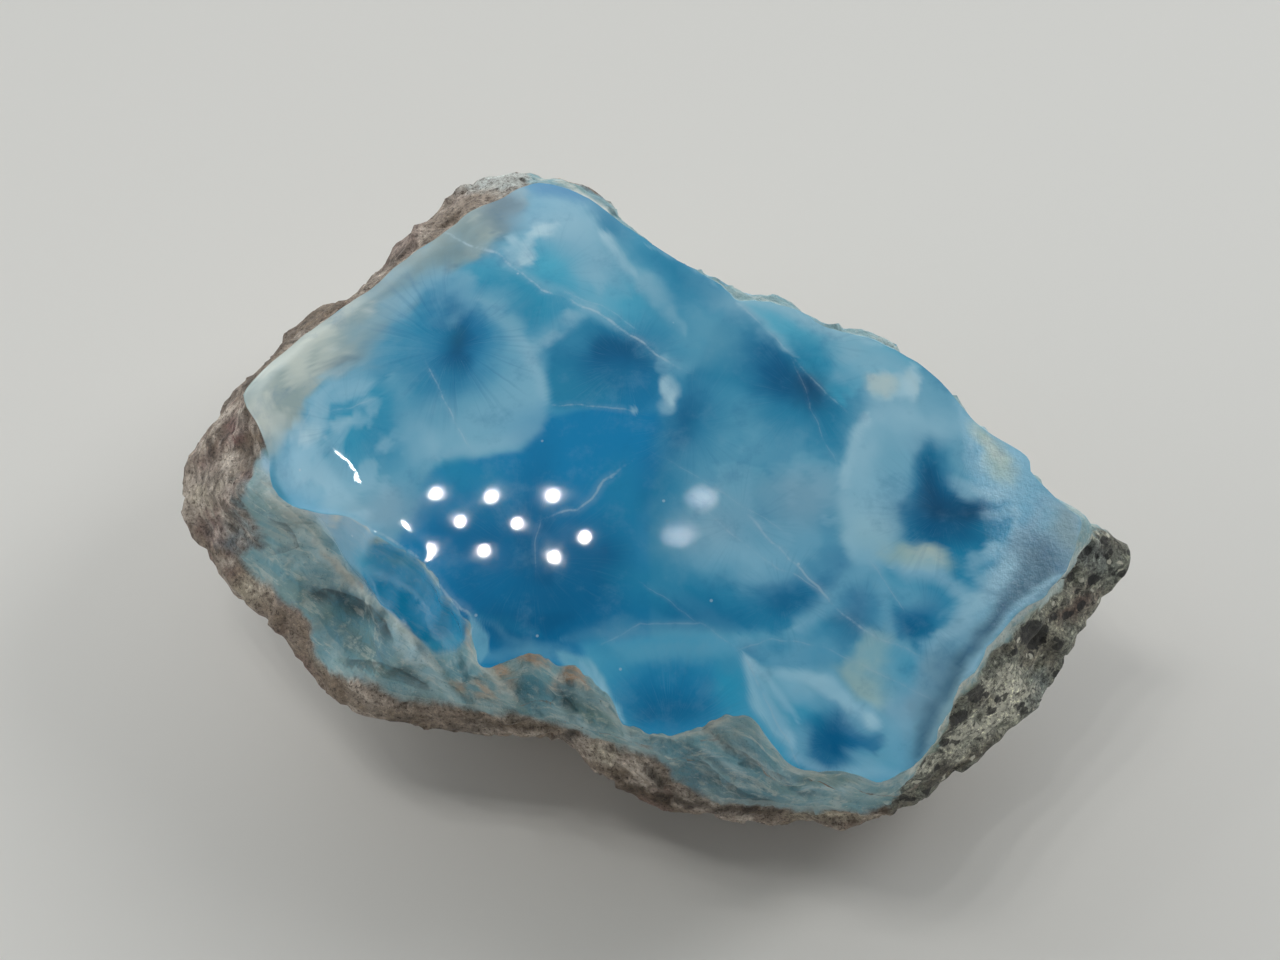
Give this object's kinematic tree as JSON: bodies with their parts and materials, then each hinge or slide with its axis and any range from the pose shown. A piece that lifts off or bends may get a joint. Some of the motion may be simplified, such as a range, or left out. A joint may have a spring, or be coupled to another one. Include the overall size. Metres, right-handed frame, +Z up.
{
  "type": "rough larimar stone",
  "caption": "Free-standing lump of rough blue larimar, with a hand-polished domed face, a broken wall, a basalt rind and a flat foot to rest on.",
  "frame": {"origin": "middle of the bounding box, at the level of the foot", "axes": "+X along the length of the stone, to the right as seen from the display side; +Y away from the viewer; +Z up, out of the polished face"},
  "size_m": [0.0918, 0.0726, 0.038],
  "materials": {
    "larimar": "polished blue and white larimar on the face, rough grey-brown basalt rind round it"
  },
  "bodies": {
    "root": {"larimar_stone": "larimar"}
  },
  "joints": []
}
